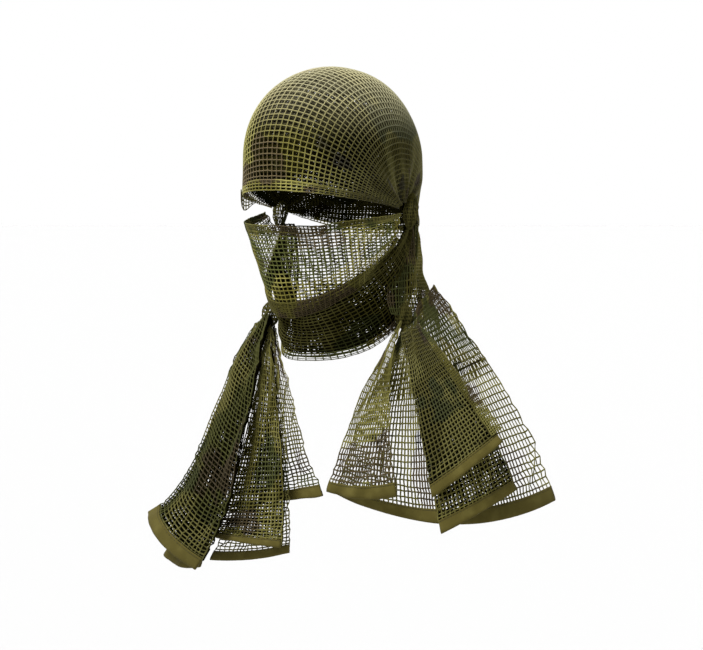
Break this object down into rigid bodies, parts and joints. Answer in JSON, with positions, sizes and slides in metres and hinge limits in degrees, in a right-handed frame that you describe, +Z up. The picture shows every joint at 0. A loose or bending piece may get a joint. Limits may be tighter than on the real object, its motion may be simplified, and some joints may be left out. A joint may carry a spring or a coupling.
{
  "type": "face mask",
  "caption": "Camouflage net scarf worn as a head cap, face veil and neck wrap, with an open eye gap and its two bound ends hanging from tucks at the sides of the neck.",
  "frame": {"origin": "centre of the head between the ears, where the wrap sits on its wearer", "axes": "+Z up, -Y the way the wearer faces, +X to the wearer's left"},
  "size_m": [0.3916, 0.2309, 0.5045],
  "materials": {
    "net": "matte knitted net, olive with green, brown and black patches",
    "folded_net": "matte knitted net in several lays",
    "end_tape": "matte woven tape, plain olive"
  },
  "bodies": {
    "wrap": {"crown_outer_lay": "net", "crown_inner_lay": "net", "brow_band": "folded_net", "right_temple_fold": "net", "left_temple_gather": "folded_net", "right_temple_gather": "folded_net", "left_cheek_lay": "net", "right_cheek_lay": "net", "nape_drape": "net", "nape_crossing": "net", "neck_wrap_inner": "net", "neck_wrap_outer": "net", "neck_wrap_upper_fold": "folded_net", "neck_wrap_selvedge": "folded_net"},
    "veil": {"face_veil": "net", "veil_selvedge": "folded_net", "chin_fold": "folded_net"},
    "right_tail": {"right_tuck": "folded_net", "right_tail_outer_lay": "net", "right_tail_outer_hem": "end_tape", "right_tail_back_lay": "net", "right_tail_back_hem": "end_tape", "right_tail_middle_lay": "net", "right_tail_middle_hem": "end_tape", "right_tail_return_lay": "net", "right_tail_return_hem": "end_tape", "right_tail_inner_lay": "net", "right_tail_inner_hem": "end_tape"},
    "left_tail": {"left_tuck": "folded_net", "left_tail_chest_lay": "net", "left_tail_chest_hem": "end_tape", "left_tail_shoulder_lay": "net", "left_tail_shoulder_hem": "end_tape"},
    "left_middle_lay": {"left_middle_flap": "net", "left_middle_flap_hem": "end_tape"},
    "left_front_lay": {"left_front_flap": "net", "left_front_flap_hem": "end_tape", "left_front_flap_selvedge": "folded_net"}
  },
  "joints": [
    {"name": "veil_drop", "type": "slide", "parent": "wrap", "child": "veil", "axis": [0, -0.42, -0.9075], "range_m": [0, 0.045]},
    {"name": "right_tail_swing", "type": "hinge", "parent": "wrap", "child": "right_tail", "pos_m": [-0.08, 0.004, -0.112], "axis": [-0.866, 0.5, 0], "range_deg": [0, 35]},
    {"name": "left_tail_swing", "type": "hinge", "parent": "wrap", "child": "left_tail", "pos_m": [0.08, 0.016, -0.113], "axis": [-0.78, -0.6258, 0], "range_deg": [0, 35]},
    {"name": "left_middle_flap_lift", "type": "hinge", "parent": "left_tail", "child": "left_middle_lay", "pos_m": [0.0945, 0.012, -0.125], "axis": [-0.78, -0.6258, 0], "range_deg": [0, 35]},
    {"name": "left_front_flap_lift", "type": "hinge", "parent": "left_middle_lay", "child": "left_front_lay", "pos_m": [0.097, 0, -0.122], "axis": [-0.78, -0.6258, 0], "range_deg": [0, 40]}
  ]
}
